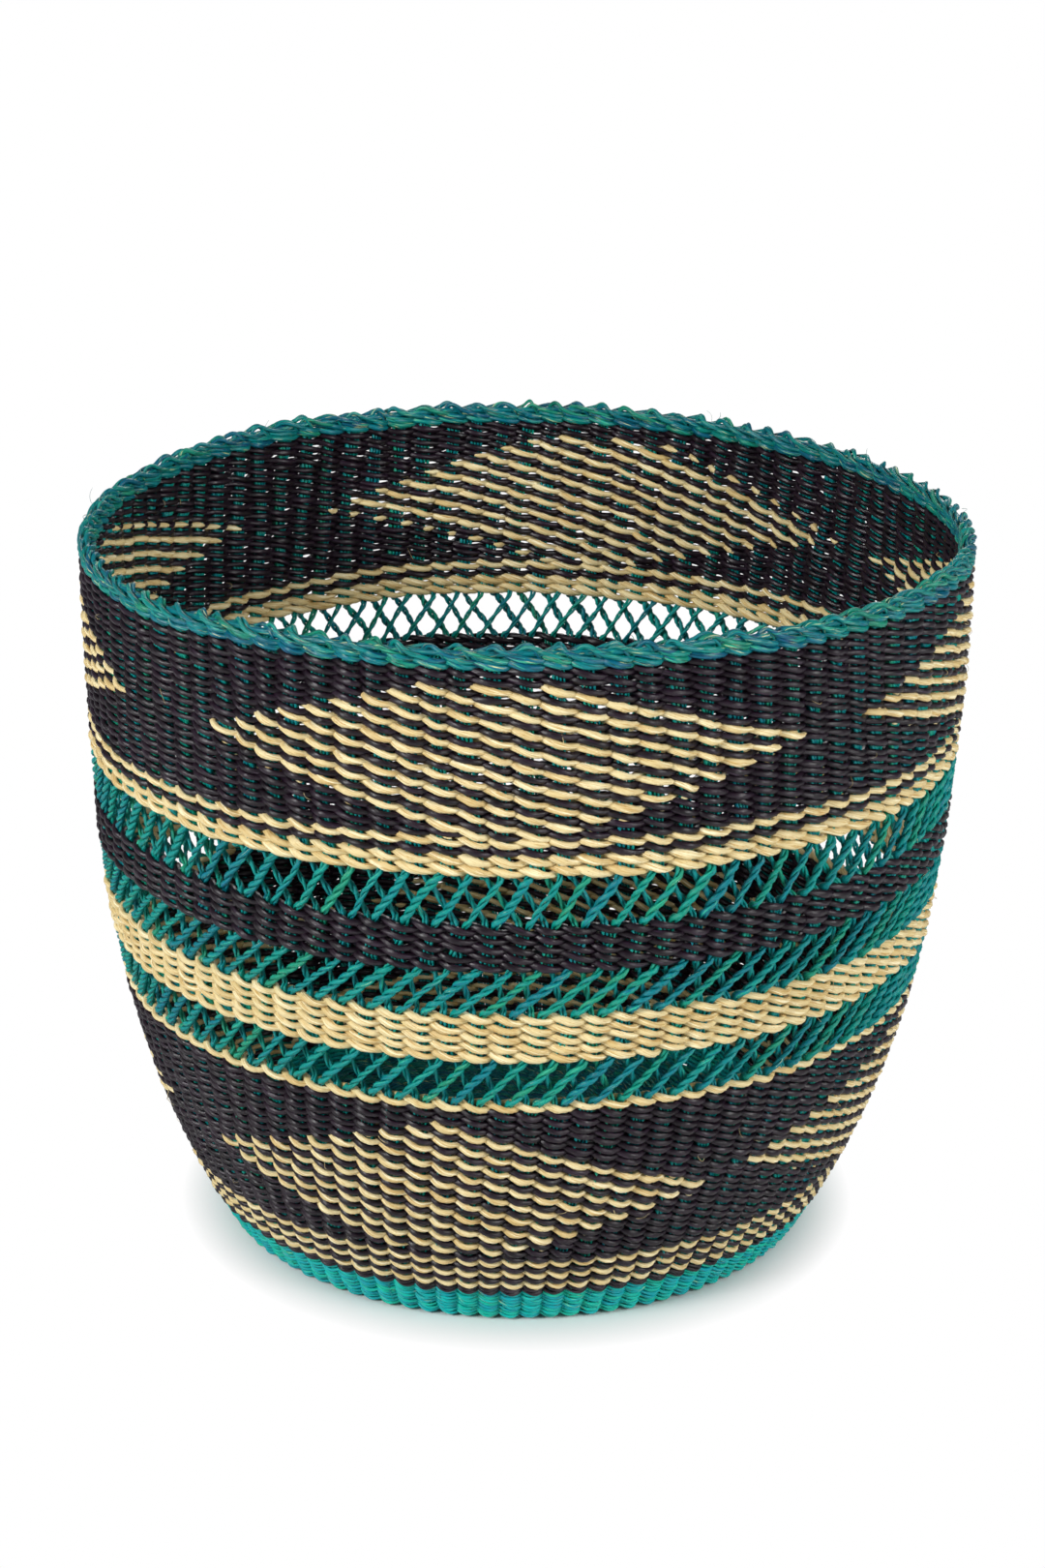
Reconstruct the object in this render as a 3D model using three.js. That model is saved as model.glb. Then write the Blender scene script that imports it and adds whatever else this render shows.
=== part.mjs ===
// A round storage basket, twined by hand from dyed grass cords. Millimetres, +Z up.
// The origin is on the floor, under the middle of the base.
// Pairs of teal cords, the stakes, run from the base to the rim. Courses of weft close the wall in bands.
// Between the bands the stakes part and cross, and leave three rows of openwork.
import * as THREE from "three";

// Driving dimensions
const height = 316.5; // floor to the top of the rim
const rimRadius = 190; // outer face of the wall at the rim
const footRadius = 135; // outer face of the wall at the floor
const wallFlare = 3.2; // how late the wall turns upright: a power of the share of height that is left
const wallThickness = 7.7; // weft, stakes and weft
const ribs = 96; // pairs of stakes round the wall
const joint = 0.3; // gap between pieces that lie against each other

// The courses and bands of the wall, from the floor up: height of each
const footHeight = 15.6;
const hemHeight = 3.6;
const stripeHeight = 3.2;
const stripeSpacing = 3.3; // black course between two natural stripes
const lowerFieldHeight = 80.2;
const sillHeight = 3.6;
const lowOpenworkHeight = 20;
const naturalBandHeight = 21.5;
const midOpenworkHeight = 19.6;
const blackBandHeight = 20;
const highOpenworkHeight = 21;
const lintelHeight = 9.2;
const upperCourseHeight = 3.4;
const upperStripeHeight = 3.6;
const rimWeaveHeight = 4.6;
const rimBorderHeight = 4.4;

// The stakes of the openwork, flat on the side where the two layers cross
const stakeWidth = 3;
const stakeDepth = 2.4;
const layerGap = 0.7; // between the two crossing layers
const grooveClearance = 0.5; // beside and past a stake's end, inside a band
const stakeInsert = 1.3; // depth inside a band at which a stake turns over to the next
const turnHeight = 1.6; // of the short stretch between two stakes, inside a band
const stakeCrossing = 3; // ribs between the feet of the two stakes that meet again at the top
const footSpread = 0.17; // ribs from a pair's middle to each of its stakes where they part
const headSpread = 0.2; // and where they meet again
const lowLean = 0.47; // ribs by which the upper ends are turned round, past an even cross
const midLean = 0.73;
const highLean = 0;
const lowPhase = 0.5; // ribs by which the feet are turned round, from a pair that stands at the front
const midPhase = 0.62;
const highPhase = 0;

// The base, a woven disc that sits on a ledge of the foot
const baseThickness = 5.5;
const baseStartRadius = 15; // the tight knot of crossed stakes in the middle
const ledgeWidth = 9; // reach of the foot's ledge inside the wall
const ledgeThickness = 3;

// The plaited border on top of the rim
const borderOverhang = 0.8; // past each face of the wall
const knobHeight = 1.6; // each stake's end, folded over, stands up from the border

// A basket made by hand is never quite round or level
const outOfRound = 3; // at the rim, along its long axis
const footOutOfRound = -2.1;
const longAxis = THREE.MathUtils.degToRad(-19);
const rimTiltHeight = 5;
const tiltDirection = THREE.MathUtils.degToRad(-58);
const rimWaveHeight = 2.2;
const waveDirection = THREE.MathUtils.degToRad(-78);

// Facets round a plain course: two ribs each
const facets = ribs / 2;
const ribAngle = (2 * Math.PI) / ribs;

// Where each course starts, worked out from the floor up
const hemBottom = footHeight;
const stripeBottoms = [0, 1, 2].map((n) => hemBottom + hemHeight + n * (stripeHeight + stripeSpacing));
const lowerFieldBottom = stripeBottoms[2] + stripeHeight;
const sillBottom = lowerFieldBottom + lowerFieldHeight;
const lowOpenworkBottom = sillBottom + sillHeight;
const naturalBandBottom = lowOpenworkBottom + lowOpenworkHeight;
const midOpenworkBottom = naturalBandBottom + naturalBandHeight;
const blackBandBottom = midOpenworkBottom + midOpenworkHeight;
const highOpenworkBottom = blackBandBottom + blackBandHeight;
const lintelBottom = highOpenworkBottom + highOpenworkHeight;
const upperCourseBottom = lintelBottom + lintelHeight;
const upperStripeBottom = upperCourseBottom + upperCourseHeight;
const upperFieldBottom = upperStripeBottom + upperStripeHeight;
const rimBorderBottom = height - rimBorderHeight;
const rimWeaveBottom = rimBorderBottom - rimWeaveHeight;

// Radius of the wall's outer face at height z
function wallRadius(z) {
  const left = THREE.MathUtils.clamp(1 - z / height, 0, 1);
  return rimRadius - (rimRadius - footRadius) * left ** wallFlare;
}

// Moves each vertex from the true round shape to the slightly uneven one
function settle(geometry) {
  const place = geometry.getAttribute("position");
  for (let i = 0; i < place.count; i++) {
    const [x, y, z] = [place.getX(i), place.getY(i), place.getZ(i)];
    const share = z / height;
    const turn = Math.atan2(y, x);
    const stretch = outOfRound * share + footOutOfRound * (1 - share);
    const round = 1 + (stretch / rimRadius) * Math.cos(2 * (turn - longAxis));
    const tilt = rimTiltHeight * Math.cos(turn - tiltDirection);
    const wave = rimWaveHeight * Math.cos(2 * (turn - waveDirection));
    place.setXYZ(i, x * round, y * round, z + share * (tilt + wave));
  }
  geometry.computeVertexNormals();
  return geometry;
}

// A ring or disc: the profile's points are [radius, z], from the lowest inner point outwards and round
function turned(profile, closed = true) {
  const widen = 2 / (1 + Math.cos(Math.PI / facets)); // facets lie half outside the true circle, half inside
  const points = profile.map(([radius, z]) => new THREE.Vector2(radius * widen, z));
  if (closed) points.push(points[0].clone());
  const geometry = new THREE.LatheGeometry(points, facets);
  return settle(geometry.rotateX(Math.PI / 2));
}

// A band's profile between two heights: outer face going up, then inner face coming down
function wallProfile(bottom, top, steps, grooveBelow, grooveAbove) {
  const low = bottom + joint / 2;
  const high = top - joint / 2;
  const levels = Array.from({ length: steps + 1 }, (_, n) => low + ((high - low) * n) / steps);
  const middle = (z) => wallRadius(z) - wallThickness / 2;
  const halfGroove = stakeDepth + layerGap / 2 + grooveClearance;
  const depth = stakeInsert + turnHeight / 2 + grooveClearance;
  const groove = (edge, end, side) => [
    [middle(edge) + side * halfGroove, edge],
    [middle(end) + side * halfGroove, end],
    [middle(end) - side * halfGroove, end],
    [middle(edge) - side * halfGroove, edge],
  ];
  return [
    ...levels.map((z) => [wallRadius(z), z]),
    ...(grooveAbove ? groove(high, high - depth, 1) : []),
    ...levels.reverse().map((z) => [wallRadius(z) - wallThickness, z]),
    ...(grooveBelow ? groove(low, low + depth, -1) : []),
  ];
}

function wallBand(bottom, bandHeight, steps = 1, grooveBelow = false, grooveAbove = false) {
  return turned(wallProfile(bottom, bottom + bandHeight, steps, grooveBelow, grooveAbove));
}

// The foot: the first courses of the wall, with a ledge that carries the base
function foot() {
  const top = footHeight - joint / 2;
  const middle = (joint / 2 + top) / 2;
  const inside = (z) => wallRadius(z) - wallThickness;
  const ledgeEdge = inside(0) - ledgeWidth;
  return turned([
    [ledgeEdge, 0],
    [wallRadius(0), 0],
    [wallRadius(middle), middle],
    [wallRadius(top), top],
    [inside(top), top],
    [inside(middle), middle],
    [inside(ledgeThickness), ledgeThickness],
    [ledgeEdge, ledgeThickness],
  ]);
}

// The base disc rests on the ledge and keeps clear of the wall at its own top edge
function baseDisc() {
  const bottom = ledgeThickness + joint;
  const top = bottom + baseThickness;
  const edge = wallRadius(bottom) - wallThickness - joint - (wallRadius(top) - wallRadius(bottom)) / 2;
  const hole = baseStartRadius + joint;
  return turned([
    [hole, bottom],
    [edge, bottom],
    [edge, top],
    [hole, top],
  ]);
}

// The knot in the middle of the base, with a collar over the disc's hole on both faces
function baseStart() {
  const bottom = ledgeThickness + joint;
  const top = bottom + baseThickness;
  const collar = 2 * baseStartRadius;
  const collarThickness = ledgeThickness - 2 * joint;
  return turned(
    [
      [0, bottom - joint - collarThickness],
      [collar, bottom - joint - collarThickness],
      [collar, bottom - joint],
      [baseStartRadius, bottom - joint],
      [baseStartRadius, top],
      [0, top],
    ],
    false,
  );
}

// A closed loop of alike sections, each a ring of [x, y, z] corners, joined one to the next
function looped(sections) {
  const corners = sections[0].length;
  const index = [];
  for (let n = 0; n < sections.length; n++) {
    const next = ((n + 1) % sections.length) * corners;
    for (let k = 0; k < corners; k++) {
      const [a, b] = [n * corners + k, n * corners + ((k + 1) % corners)];
      const [c, d] = [next + k, next + ((k + 1) % corners)];
      index.push(a, c, b, b, c, d);
    }
  }
  const geometry = new THREE.BufferGeometry();
  geometry.setAttribute("position", new THREE.Float32BufferAttribute(sections.flat(2), 3));
  geometry.setIndex(index);
  return settle(geometry);
}

function around(radius, turn, z) {
  return [radius * Math.cos(turn), radius * Math.sin(turn), z];
}

// One layer of openwork stakes as one unbroken cord: up a stake, over to the next inside the band, and down it.
// side is 1 for the outer layer, which leans right seen from outside, and -1 for the inner layer.
function openwork(bottom, gapHeight, phase, lean, side) {
  const low = bottom - stakeInsert;
  const high = bottom + gapHeight + stakeInsert;
  const start = phase + side * footSpread;
  const travel = side * (stakeCrossing / 2 - headSpread - footSpread) + lean;
  const slope = travel / gapHeight; // ribs for each millimetre of rise
  const middle = wallRadius(bottom + gapHeight / 2) - wallThickness / 2;
  const stretch = Math.hypot(1, slope * ribAngle * middle); // a level cut through a leaning stake is wider
  const halfTurn = ((stakeWidth / 2) * stretch) / middle;
  const sections = [];
  for (let n = 0; n < ribs; n++) {
    const rising = n % 2 === 0;
    for (const end of rising ? [low, high] : [high, low]) {
      const face = wallRadius(end) - wallThickness / 2 + (side * layerGap) / 2;
      const stake = (z) => (n + start + slope * (z - bottom)) * ribAngle;
      const [above, below] = [end + turnHeight / 2, end - turnHeight / 2];
      const aside = rising ? -halfTurn : halfTurn;
      const edges = [around(face, stake(above) + aside, above), around(face, stake(below) - aside, below)];
      const ridge = around(face + side * stakeDepth, stake(end), end);
      sections.push(side > 0 ? [...edges, ridge] : [ridge, ...edges.reverse()]);
    }
  }
  return looped(sections);
}

// The plaited border: a ring whose top rises to a knob over each rib
function rimBorder() {
  const bottom = rimBorderBottom + joint / 2;
  const outer = rimRadius + borderOverhang;
  const inner = rimRadius - wallThickness - borderOverhang;
  const crest = (inner + outer) / 2;
  const shoulder = (bottom + height - knobHeight) / 2;
  const sections = [];
  for (let n = 0; n < 2 * ribs; n++) {
    const turn = (n * ribAngle) / 2;
    const top = n % 2 === 0 ? height : height - knobHeight;
    sections.push([
      around(inner, turn, shoulder),
      around(crest, turn, bottom),
      around(outer, turn, shoulder),
      around(crest, turn, top),
    ]);
  }
  return looped(sections);
}

function grass(color, roughness) {
  return new THREE.MeshStandardMaterial({ color, roughness, metalness: 0 });
}
const teal = grass(0x0b7f86, 0.55);
const black = grass(0x1d161c, 0.5);
const natural = grass(0xdcbb7c, 0.6);

const basket = new THREE.Group();
function add(name, geometry, material) {
  const mesh = new THREE.Mesh(geometry, material);
  mesh.name = name;
  basket.add(mesh);
}

add("base_start", baseStart(), teal);
add("base_disc", baseDisc(), teal);
add("foot_weave", foot(), teal);

add("hem_black", wallBand(hemBottom, hemHeight), black);
stripeBottoms.forEach((bottom, n) => {
  add(`lower_stripe_${n + 1}`, wallBand(bottom, stripeHeight), natural);
  if (n < stripeBottoms.length - 1) {
    add(`lower_course_${n + 1}`, wallBand(bottom + stripeHeight, stripeSpacing), black);
  }
});
add("lower_field", wallBand(lowerFieldBottom, lowerFieldHeight, 3), black);
add("sill_row", wallBand(sillBottom, sillHeight, 1, false, true), natural);

const openworks = [
  ["low_openwork", lowOpenworkBottom, lowOpenworkHeight, lowPhase, lowLean],
  ["mid_openwork", midOpenworkBottom, midOpenworkHeight, midPhase, midLean],
  ["high_openwork", highOpenworkBottom, highOpenworkHeight, highPhase, highLean],
];
for (const [name, bottom, gapHeight, phase, lean] of openworks) {
  add(`${name}_outer_stakes`, openwork(bottom, gapHeight, phase, lean, 1), teal);
  add(`${name}_inner_stakes`, openwork(bottom, gapHeight, phase, lean, -1), teal);
}

add("natural_band", wallBand(naturalBandBottom, naturalBandHeight, 1, true, true), natural);
add("black_band", wallBand(blackBandBottom, blackBandHeight, 1, true, true), black);
add("lintel_rows", wallBand(lintelBottom, lintelHeight, 1, true, false), natural);
add("upper_course", wallBand(upperCourseBottom, upperCourseHeight), black);
add("upper_stripe", wallBand(upperStripeBottom, upperStripeHeight), natural);
add("upper_field", wallBand(upperFieldBottom, rimWeaveBottom - upperFieldBottom, 2), black);
add("rim_weave", wallBand(rimWeaveBottom, rimWeaveHeight), teal);
add("rim_border", rimBorder(), teal);

export default basket;
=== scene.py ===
# A round basket, twined from dyed grass. Each weft strand, stake and rim strand is a tube along its own path.
# The weave is worked out in millimetres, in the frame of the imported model, and its meshes are in metres.
import math

import bpy
import numpy as np
from mathutils import Matrix, Vector


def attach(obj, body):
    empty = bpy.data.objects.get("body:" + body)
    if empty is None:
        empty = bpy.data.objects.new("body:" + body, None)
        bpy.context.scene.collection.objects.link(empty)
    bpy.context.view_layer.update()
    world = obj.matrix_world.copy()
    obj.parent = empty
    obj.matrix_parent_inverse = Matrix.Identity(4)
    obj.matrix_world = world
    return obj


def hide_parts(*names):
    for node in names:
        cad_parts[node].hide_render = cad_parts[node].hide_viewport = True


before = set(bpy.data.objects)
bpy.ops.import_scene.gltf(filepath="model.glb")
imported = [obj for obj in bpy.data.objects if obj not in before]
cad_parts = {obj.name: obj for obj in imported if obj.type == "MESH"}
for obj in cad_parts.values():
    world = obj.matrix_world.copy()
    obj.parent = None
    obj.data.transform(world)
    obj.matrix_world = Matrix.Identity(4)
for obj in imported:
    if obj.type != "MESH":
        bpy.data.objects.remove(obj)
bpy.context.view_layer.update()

MM = 0.001
TURN = 2 * math.pi
UPRIGHT = np.array([0.0, 0.0, 1.0])

# The wall's outer face, in mm
HEIGHT = 316.5
RIM_RADIUS = 190.0
FOOT_RADIUS = 135.0
FLARE = 3.2  # power of the wall's curve
WALL_THICKNESS = 7.7

# Its large unevenness, in mm on a circle as wide as the rim: how far the long axis stands out at the rim's
# height and at the foot's, how much higher one side of the rim is than its middle, and how far the rim goes
# up and down twice round
OUT_OF_ROUND = 3.0
FOOT_OUT_OF_ROUND = -2.1
LONG_AXIS = math.radians(-19)
RIM_TILT = 5.0
TILT_DIRECTION = math.radians(-58)
RIM_WAVE = 2.2
WAVE_DIRECTION = math.radians(-78)

# The smaller unevenness of hand work. A wave is its size at the rim, how often it goes round the basket, and
# the mm of height in which it turns by a radian.
LIFT_WAVES = [(0.35, 7, 30), (0.25, 17, -19)]  # mm up
DENT_WAVES = [(0.5, 5, 35), (0.35, 12, -24)]  # mm out
SLIP_WAVES = [(0.005, 13, 21), (0.004, 31, -16), (0.003, 53, 7)]  # radians along the wall

# The wall's bands, from the floor up: the height in mm that each reaches to, and its number of weft rows
FOOT_BOTTOM = 0.2
BANDS = {
    "foot_weave": (15.6, 8),
    "hem_black": (19.2, 2),
    "lower_stripe_1": (22.4, 1),
    "lower_course_1": (25.7, 1),
    "lower_stripe_2": (28.9, 1),
    "lower_course_2": (32.2, 1),
    "lower_stripe_3": (35.4, 1),
    "lower_field": (115.6, 22),
    "sill_row": (119.2, 1),
    "low_openwork": (139.2, 0),
    "natural_band": (160.7, 5),
    "mid_openwork": (180.3, 0),
    "black_band": (200.3, 5),
    "high_openwork": (221.3, 0),
    "lintel_rows": (230.5, 2),
    "upper_course": (233.9, 1),
    "upper_stripe": (237.5, 1),
    "upper_field": (307.5, 20),
}
TOPS = {name: top for name, (top, rows) in BANDS.items()}
BOTTOMS = dict(zip(BANDS, [FOOT_BOTTOM, *TOPS.values()]))
OPENWORK_NAMES = [name for name, (top, rows) in BANDS.items() if not rows]
OPENWORK = [(BOTTOMS[name], TOPS[name]) for name in OPENWORK_NAMES]

# Ribs: each is a pair of stakes, one of which leans right in the openwork and one left
RIBS = 96
RIB_ANGLE = TURN / RIBS
CROSSING = 3  # ribs by which the two stakes of a pair part in one openwork row

# The ribs by which the right-leaning stakes have moved round at each height
DRIFT_HEIGHTS = [0.0, 44.0, *(height for opening in OPENWORK for height in opening), TOPS["upper_field"]]
DRIFT = [-0.3, -0.05, 0.5, 2.47, 2.62, 4.85, 5.0, 6.5, 6.0]

rng = np.random.default_rng(7)


# Shapes


def smooth(x):
    x = np.clip(x, 0.0, 1.0)
    return x * x * (3 - 2 * x)


def between(first, second, share):
    return first + (second - first) * share


def unit(v):
    return v / np.linalg.norm(v, axis=-1, keepdims=True)


def drift(height):
    return np.interp(height, DRIFT_HEIGHTS, DRIFT)


def wall(height):
    """The wall's middle at a height of its outer face: radius, height, and the ways along and out of it."""
    left = np.clip(1 - height / HEIGHT, 0.0, 1.0)
    radius = RIM_RADIUS - (RIM_RADIUS - FOOT_RADIUS) * left**FLARE
    slope = FLARE * (RIM_RADIUS - FOOT_RADIUS) / HEIGHT * left ** (FLARE - 1)
    run = np.sqrt(1 + slope**2)
    along = (slope / run, 1 / run)
    out = (1 / run, -slope / run)
    half = WALL_THICKNESS / 2
    return radius - half * out[0], height - half * out[1], along, out


def spin(turn, radius, height):
    return np.stack(np.broadcast_arrays(radius * np.cos(turn), radius * np.sin(turn), height), -1)


def off_surface(turn, surface, height, across, rise):
    """A point that is across mm out of a surface such as the wall at a height, and rise mm along it."""
    radius, level, along, out = surface(height)
    return spin(turn, radius + across * out[0] + rise * along[0], level + across * out[1] + rise * along[1])


def waves(kinds, turn, height):
    return sum(size * np.sin(count * turn + height / climb) for size, count, climb in kinds)


def settle(points):
    """From the true round shape to the uneven one of hand work."""
    x, y, z = points[..., 0], points[..., 1], points[..., 2]
    share = np.clip(z / HEIGHT, 0, None)
    turn = np.arctan2(y, x)
    stretch = OUT_OF_ROUND * share + FOOT_OUT_OF_ROUND * (1 - share)
    grow = 1 + stretch / RIM_RADIUS * np.cos(2 * (turn - LONG_AXIS))
    lift = RIM_TILT * np.cos(turn - TILT_DIRECTION) + RIM_WAVE * np.cos(2 * (turn - WAVE_DIRECTION))
    lift += waves(LIFT_WAVES, turn, z)
    radius = np.hypot(x, y) * grow + share * waves(DENT_WAVES, turn, z)
    return spin(turn + share * waves(SLIP_WAVES, turn, z), radius, z + share * lift)


def wander(t, ribs, spread, spacing=1.0):
    """Smooth noise round the basket, at each t in ribs. Its knots are spacing ribs apart."""
    knots = max(int(ribs / spacing), 3)
    values = rng.normal(0, spread, knots)
    x = t / ribs * knots
    low = np.floor(x).astype(int)
    share = smooth(x - low)
    return values[low % knots] * (1 - share) + values[(low + 1) % knots] * share


def sway(heights, spacing, spread):
    """Noise up a stake, in mm, with a knot at each spacing."""
    knots = np.arange(heights[0] - spacing, heights[-1] + 2 * spacing, spacing)
    return np.interp(heights, knots, rng.normal(0, spread, len(knots)))


# Tubes

TIP_SIZE = 0.04  # size of the ring that ends a tube, as a share of the tube's own
TIP_REACH = 0.6  # from the tube's last ring to its tip, as a share of the tube's half thickness


class Strands:
    """Tubes that make one piece. Each point knows its place on its strand, and the strand's tint."""

    def __init__(self, name, sides=7):
        self.name = name
        self.sides = sides
        self.points = []
        self.faces = []
        self.fibres = []
        self.tints = []
        self.count = 0

    def add(self, path, up, tall, thick, tints, closed=False, twist=0.12):
        """A tube along path. Its section is an oval, tall along up and thick across it, both from its middle.

        Its ends are rounded, or else it is closed, and its last ring lies on its first. twist is how its
        fibres turn, in radians to a millimetre.
        """
        if not closed:
            path, up, tall, thick, tints = self.with_ends(path, up, tall, thick, tints)
        ahead = np.gradient(path, axis=0)
        if closed:
            ahead[0] = ahead[-1] = path[1] - path[-2]
        ahead = unit(ahead)
        rise = unit(up - (up * ahead).sum(-1, keepdims=True) * ahead)
        across = np.cross(ahead, rise)
        angle = np.linspace(0, TURN, self.sides, endpoint=False)
        up_part = tall[:, None, None] * np.cos(angle)[None, :, None]
        across_part = thick[:, None, None] * np.sin(angle)[None, :, None]
        ring = path[:, None] + up_part * rise[:, None] + across_part * across[:, None]
        self.points.append(settle(ring).reshape(-1, 3))
        self.fibres.append(self.fibre_places(path, angle, twist).reshape(-1, 3))
        self.tints.append(np.repeat(tints, self.sides))
        self.add_faces(len(path))

    @staticmethod
    def fibre_places(path, angle, twist):
        """Where each point lies on its strand's fibres. Each strand has its own stretch of the pattern."""
        length = np.concatenate([[0], np.cumsum(np.linalg.norm(np.diff(path, axis=0), axis=1))])
        place, seed = rng.uniform(0, 5000), rng.uniform(0, 50)
        around = angle[None, :] + twist * length[:, None]
        along = np.repeat(length[:, None], len(angle), 1) + place
        return np.stack([along, np.cos(around) + seed, np.sin(around)], -1)

    def add_faces(self, rings):
        first = np.arange(rings - 1)[:, None] * self.sides
        side = np.arange(self.sides)[None, :]
        next_side = (side + 1) % self.sides
        corners = [first + side, first + next_side, first + self.sides + next_side, first + self.sides + side]
        self.faces.append(np.stack(corners, -1).reshape(-1, 4) + self.count)
        self.count += rings * self.sides

    @staticmethod
    def with_ends(path, up, tall, thick, tints):
        """Adds a small ring at each end, so that the tube closes to a rounded tip."""
        up = np.broadcast_to(up, path.shape)
        start = path[0] - unit(path[1] - path[0]) * TIP_REACH * thick[0]
        end = path[-1] + unit(path[-1] - path[-2]) * TIP_REACH * thick[-1]
        path = np.concatenate([[start], path, [end]])
        up = np.concatenate([up[:1], up, up[-1:]])
        tall, thick = (np.concatenate([[TIP_SIZE * s[0]], s, [TIP_SIZE * s[-1]]]) for s in (tall, thick))
        return path, up, tall, thick, np.concatenate([tints[:1], tints, tints[-1:]])

    def build(self, material, slot, *nodes):
        points = np.concatenate(self.points) * MM
        faces = np.concatenate(self.faces)
        mesh = bpy.data.meshes.new(self.name)
        mesh.vertices.add(len(points))
        mesh.vertices.foreach_set("co", points.ravel())
        mesh.loops.add(faces.size)
        mesh.loops.foreach_set("vertex_index", faces.ravel())
        mesh.polygons.add(len(faces))
        mesh.polygons.foreach_set("loop_start", np.arange(0, faces.size, 4))
        mesh.update(calc_edges=True)
        mesh.shade_smooth()
        fibre = mesh.attributes.new("fibre", "FLOAT_VECTOR", "POINT")
        fibre.data.foreach_set("vector", np.concatenate(self.fibres).ravel())
        tint = mesh.attributes.new("tint", "FLOAT", "POINT")
        tint.data.foreach_set("value", np.concatenate(self.tints))
        mesh.materials.append(material)
        piece = bpy.data.objects.new(self.name, mesh)
        bpy.context.scene.collection.objects.link(piece)
        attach(piece, "root")
        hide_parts(*nodes)


# Weft

STEPS = 8  # rings to a rib

# How far a strand's measures wander from stitch to stitch, as shares of themselves
DEPTH_WANDER = 0.06
FALL_WANDER = 0.12
TALL_WANDER = 0.09
THICK_WANDER = 0.08
STITCH_WANDER = 0.05  # ribs along the row
ROW_SPACING = 1.1  # ribs from one knot of a row's own noise to the next
LEAN_SWELL = 0.15  # share by which a strand is thicker where it passes through the wall
TAPER_SIZE = 0.35  # of a strand's end, as a share of its full size
TAPER_LENGTH = 0.3  # ribs


def strand(pitch, tall=0.37, thick=1.0, fall=0.29, depth=2.75, uneven=0.24):
    """How a weft strand is shaped.

    tall is half its height, and fall how far it goes up and down, as shares of its row's pitch. In mm, thick
    is half its thickness, depth how far it goes out of the wall's middle, and uneven how far its row wanders.
    """
    return {"pitch": pitch, "tall": tall, "thick": thick, "fall": fall, "depth": depth, "uneven": uneven}


def weft(strands, surface, place, turn_by, shape, shift, span=None, ribs=RIBS):
    """One weft strand: outside at every other rib, inside at the rest, and falling to the right on both.

    Two of them twist round each other, so the flat of each always faces away from the other. t counts ribs,
    shift is 0 or 1, the rib that the strand is outside at, and span is the stretch of t that it covers, or
    None for all the way round. The ends of a stretch taper off.
    """
    closed = span is None
    if closed:
        t = rng.integers(0, ribs) + 0.5 + np.arange(ribs * STEPS + 1) / STEPS
        full = 1.0
    else:
        count = max(int((span[1] - span[0]) * STEPS), 3)
        t = np.linspace(span[0], span[1], count + 1)
        from_end = np.minimum(t - span[0], span[1] - t)
        full = TAPER_SIZE + (1 - TAPER_SIZE) * smooth(from_end / TAPER_LENGTH)
    swing = np.cos(math.pi * (t - shift))
    lean = np.sin(math.pi * (t - shift))
    pitch = shape["pitch"]
    across = shape["depth"] * swing * (1 + wander(t, ribs, DEPTH_WANDER))
    fall = -shape["fall"] * pitch * lean * (1 + wander(t, ribs, FALL_WANDER))
    tall = pitch * shape["tall"] * full * (1 + wander(t, ribs, TALL_WANDER))
    thick = shape["thick"] * full * (1 + LEAN_SWELL * lean**2) * (1 + wander(t, ribs, THICK_WANDER))

    spot = place + wander(t, ribs, shape["uneven"], ROW_SPACING)
    along, out = surface(spot)[2:]
    turn = (t * RIBS / ribs + turn_by + wander(t, ribs, STITCH_WANDER)) * RIB_ANGLE
    path = off_surface(turn, surface, spot, across, fall)
    up = spin(turn, lean * out[0] + swing * along[0], lean * out[1] + swing * along[1])
    stitch = rng.uniform(0, 1, ribs)[np.floor(t + 0.5).astype(int) % ribs]
    strands.add(path, up, tall, thick, stitch, closed)


def row(strands, height, shape, shifts=(0, 1)):
    for shift in shifts:
        weft(strands, wall, height, drift(height), shape, shift)


def rows_of(node):
    """The heights of a band's rows, and their pitch."""
    top, count = BANDS[node]
    pitch = (top - BOTTOMS[node]) / count
    return [BOTTOMS[node] + pitch * (n + 0.5) for n in range(count)], pitch


def slits_of(node):
    """The heights between a band's rows, and at its bottom and top, where the stakes show a little."""
    top, count = BANDS[node]
    return [BOTTOMS[node] + (top - BOTTOMS[node]) / count * n for n in range(count + 1)]


def band(node, finish, look):
    """A band of one colour."""
    heights, pitch = rows_of(node)
    strands = Strands(node + "_strands")
    for height in heights:
        row(strands, height, strand(pitch, **look))
    strands.build(*finish, node)


# Diamonds

DIAMOND_REACH = 10.4  # ribs and rows from a diamond's middle to its corners
BLACK_SAG = 0.2  # mm by which the black strand of a field's row lies lower than the other one
OVERLAP = 0.2  # ribs by which a black stretch goes on past the natural one's end
STRAY_CHANCE = 0.6  # that a bit of natural strand peeps out at the end of a diamond's row
STRAY_DROP = 1.6  # mm from the row down to that bit
STRAY_HALF = 0.13  # half of its length, in ribs
STRAY_STAND = 2.1  # mm from the wall's middle out to it
STRAY_SIZES = (0.4, 0.7)


def shown_ribs(n, rib, middle, rows):
    """The ribs at which row n of a diamond shows its natural strand. It is widest in its middle row."""
    half = DIAMOND_REACH - abs(n - middle) if rows[0] <= n <= rows[1] else -1
    first = math.ceil(rib - half)
    return [shown for shown in range(first, math.floor(rib + half) + 1) if (shown - n) % 2 == 0]


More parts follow.
